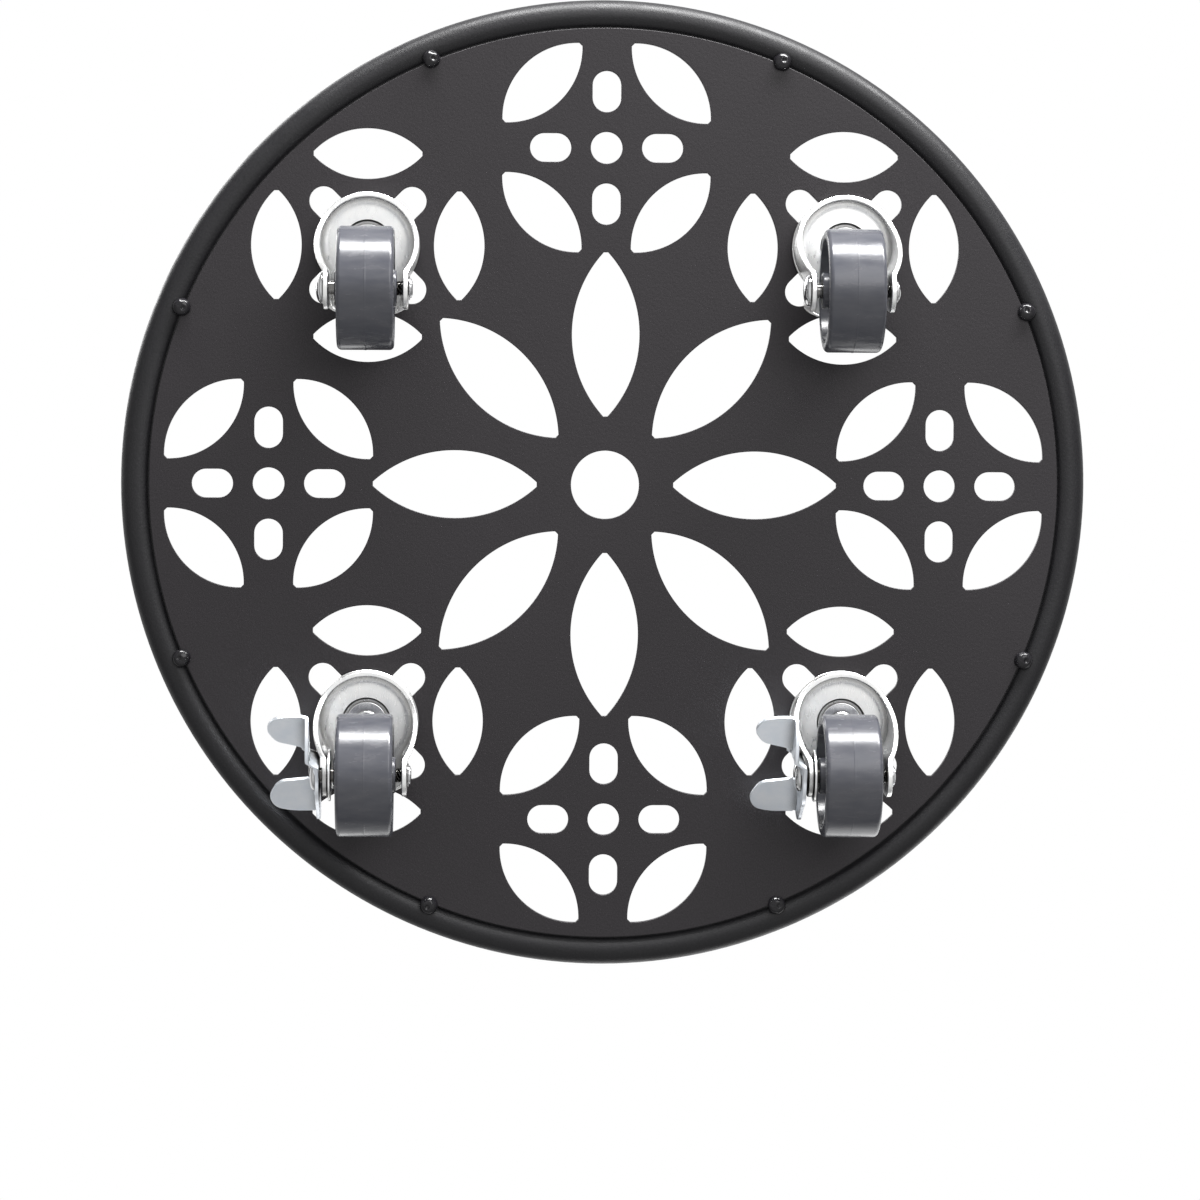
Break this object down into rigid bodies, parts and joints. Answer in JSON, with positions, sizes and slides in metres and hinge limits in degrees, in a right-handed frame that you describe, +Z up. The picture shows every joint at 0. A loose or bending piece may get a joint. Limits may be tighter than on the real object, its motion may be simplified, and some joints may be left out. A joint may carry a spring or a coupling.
{
  "type": "furniture dolly",
  "caption": "Round furniture dolly: perforated steel deck in a bent tube ring, on swivel castors with plastic wheels, the rear ones with foot brakes.",
  "frame": {"origin": "on the floor under the middle of the deck", "axes": "+Z up, +X forward: the castors trail towards -X, and the braked castors are the two at -X"},
  "size_m": [0.4, 0.4, 0.076],
  "materials": {
    "deck_coat": "satin black powder coat, fine orange peel",
    "rim_coat": "satin black powder coat, slightly glossier on the round tube",
    "zinc_sheet": "bright zinc-plated pressed sheet",
    "zinc_fastener": "bright zinc-plated fastener",
    "bearing_steel": "polished and greased",
    "wheel_plastic": "dark grey moulded polypropylene, satin"
  },
  "bodies": {
    "frame": {"deck_plate": "deck_coat", "rim_tube": "rim_coat", "tack_weld_1": "rim_coat", "tack_weld_2": "rim_coat", "tack_weld_3": "rim_coat", "tack_weld_4": "rim_coat", "tack_weld_5": "rim_coat", "tack_weld_6": "rim_coat", "tack_weld_7": "rim_coat", "tack_weld_8": "rim_coat", "castor_plate_rear_right": "zinc_sheet", "kingpin_rear_right": "zinc_fastener", "race_washer_rear_right": "zinc_fastener", "ball_ring_rear_right": "bearing_steel", "deck_washer_rear_right": "zinc_fastener", "deck_nut_rear_right": "zinc_fastener", "castor_plate_rear_left": "zinc_sheet", "kingpin_rear_left": "zinc_fastener", "race_washer_rear_left": "zinc_fastener", "ball_ring_rear_left": "bearing_steel", "deck_washer_rear_left": "zinc_fastener", "deck_nut_rear_left": "zinc_fastener", "castor_plate_front_right": "zinc_sheet", "kingpin_front_right": "zinc_fastener", "race_washer_front_right": "zinc_fastener", "ball_ring_front_right": "bearing_steel", "deck_washer_front_right": "zinc_fastener", "deck_nut_front_right": "zinc_fastener", "castor_plate_front_left": "zinc_sheet", "kingpin_front_left": "zinc_fastener", "race_washer_front_left": "zinc_fastener", "ball_ring_front_left": "bearing_steel", "deck_washer_front_left": "zinc_fastener", "deck_nut_front_left": "zinc_fastener"},
    "swivel_rear_right": {"fork_rear_right": "zinc_sheet", "axle_rear_right": "zinc_fastener", "axle_nut_rear_right": "zinc_fastener", "wheel_bush_rear_right": "zinc_fastener"},
    "wheel_rear_right": {"wheel_rear_right": "wheel_plastic"},
    "brake_lever_rear_right": {"brake_lever_rear_right": "zinc_sheet"},
    "brake_plate_rear_right": {"brake_plate_rear_right": "zinc_sheet"},
    "swivel_rear_left": {"fork_rear_left": "zinc_sheet", "axle_rear_left": "zinc_fastener", "axle_nut_rear_left": "zinc_fastener", "wheel_bush_rear_left": "zinc_fastener"},
    "wheel_rear_left": {"wheel_rear_left": "wheel_plastic"},
    "brake_lever_rear_left": {"brake_lever_rear_left": "zinc_sheet"},
    "brake_plate_rear_left": {"brake_plate_rear_left": "zinc_sheet"},
    "swivel_front_right": {"fork_front_right": "zinc_sheet", "axle_front_right": "zinc_fastener", "axle_nut_front_right": "zinc_fastener", "wheel_bush_front_right": "zinc_fastener"},
    "wheel_front_right": {"wheel_front_right": "wheel_plastic"},
    "swivel_front_left": {"fork_front_left": "zinc_sheet", "axle_front_left": "zinc_fastener", "axle_nut_front_left": "zinc_fastener", "wheel_bush_front_left": "zinc_fastener"},
    "wheel_front_left": {"wheel_front_left": "wheel_plastic"}
  },
  "joints": [
    {"name": "swivel_turn_rear_right", "type": "hinge", "parent": "frame", "child": "swivel_rear_right", "pos_m": [-0.09822, -0.09822, 0.058], "axis": [0, 0, 1], "continuous": true},
    {"name": "wheel_spin_rear_right", "type": "hinge", "parent": "swivel_rear_right", "child": "wheel_rear_right", "pos_m": [-0.11722, -0.09822, 0.025], "axis": [0, 1, 0], "continuous": true},
    {"name": "brake_lever_tilt_rear_right", "type": "hinge", "parent": "swivel_rear_right", "child": "brake_lever_rear_right", "pos_m": [-0.11722, -0.09822, 0.025], "axis": [0, -1, 0], "range_deg": [0, 25]},
    {"name": "brake_plate_slide_rear_right", "type": "slide", "parent": "swivel_rear_right", "child": "brake_plate_rear_right", "axis": [0, 1, 0], "range_m": [0, 0.0008]},
    {"name": "swivel_turn_rear_left", "type": "hinge", "parent": "frame", "child": "swivel_rear_left", "pos_m": [-0.09822, 0.09822, 0.058], "axis": [0, 0, 1], "continuous": true},
    {"name": "wheel_spin_rear_left", "type": "hinge", "parent": "swivel_rear_left", "child": "wheel_rear_left", "pos_m": [-0.11722, 0.09822, 0.025], "axis": [0, 1, 0], "continuous": true},
    {"name": "brake_lever_tilt_rear_left", "type": "hinge", "parent": "swivel_rear_left", "child": "brake_lever_rear_left", "pos_m": [-0.11722, 0.09822, 0.025], "axis": [0, -1, 0], "range_deg": [0, 25]},
    {"name": "brake_plate_slide_rear_left", "type": "slide", "parent": "swivel_rear_left", "child": "brake_plate_rear_left", "axis": [0, 1, 0], "range_m": [0, 0.0008]},
    {"name": "swivel_turn_front_right", "type": "hinge", "parent": "frame", "child": "swivel_front_right", "pos_m": [0.09822, -0.09822, 0.058], "axis": [0, 0, 1], "continuous": true},
    {"name": "wheel_spin_front_right", "type": "hinge", "parent": "swivel_front_right", "child": "wheel_front_right", "pos_m": [0.07922, -0.09822, 0.025], "axis": [0, 1, 0], "continuous": true},
    {"name": "swivel_turn_front_left", "type": "hinge", "parent": "frame", "child": "swivel_front_left", "pos_m": [0.09822, 0.09822, 0.058], "axis": [0, 0, 1], "continuous": true},
    {"name": "wheel_spin_front_left", "type": "hinge", "parent": "swivel_front_left", "child": "wheel_front_left", "pos_m": [0.07922, 0.09822, 0.025], "axis": [0, 1, 0], "continuous": true}
  ],
  "couplings": [
    {"joint": "brake_plate_slide_rear_right", "follows": "brake_lever_tilt_rear_right", "m_per_rad": 0.00183},
    {"joint": "brake_plate_slide_rear_left", "follows": "brake_lever_tilt_rear_left", "m_per_rad": 0.00183}
  ]
}
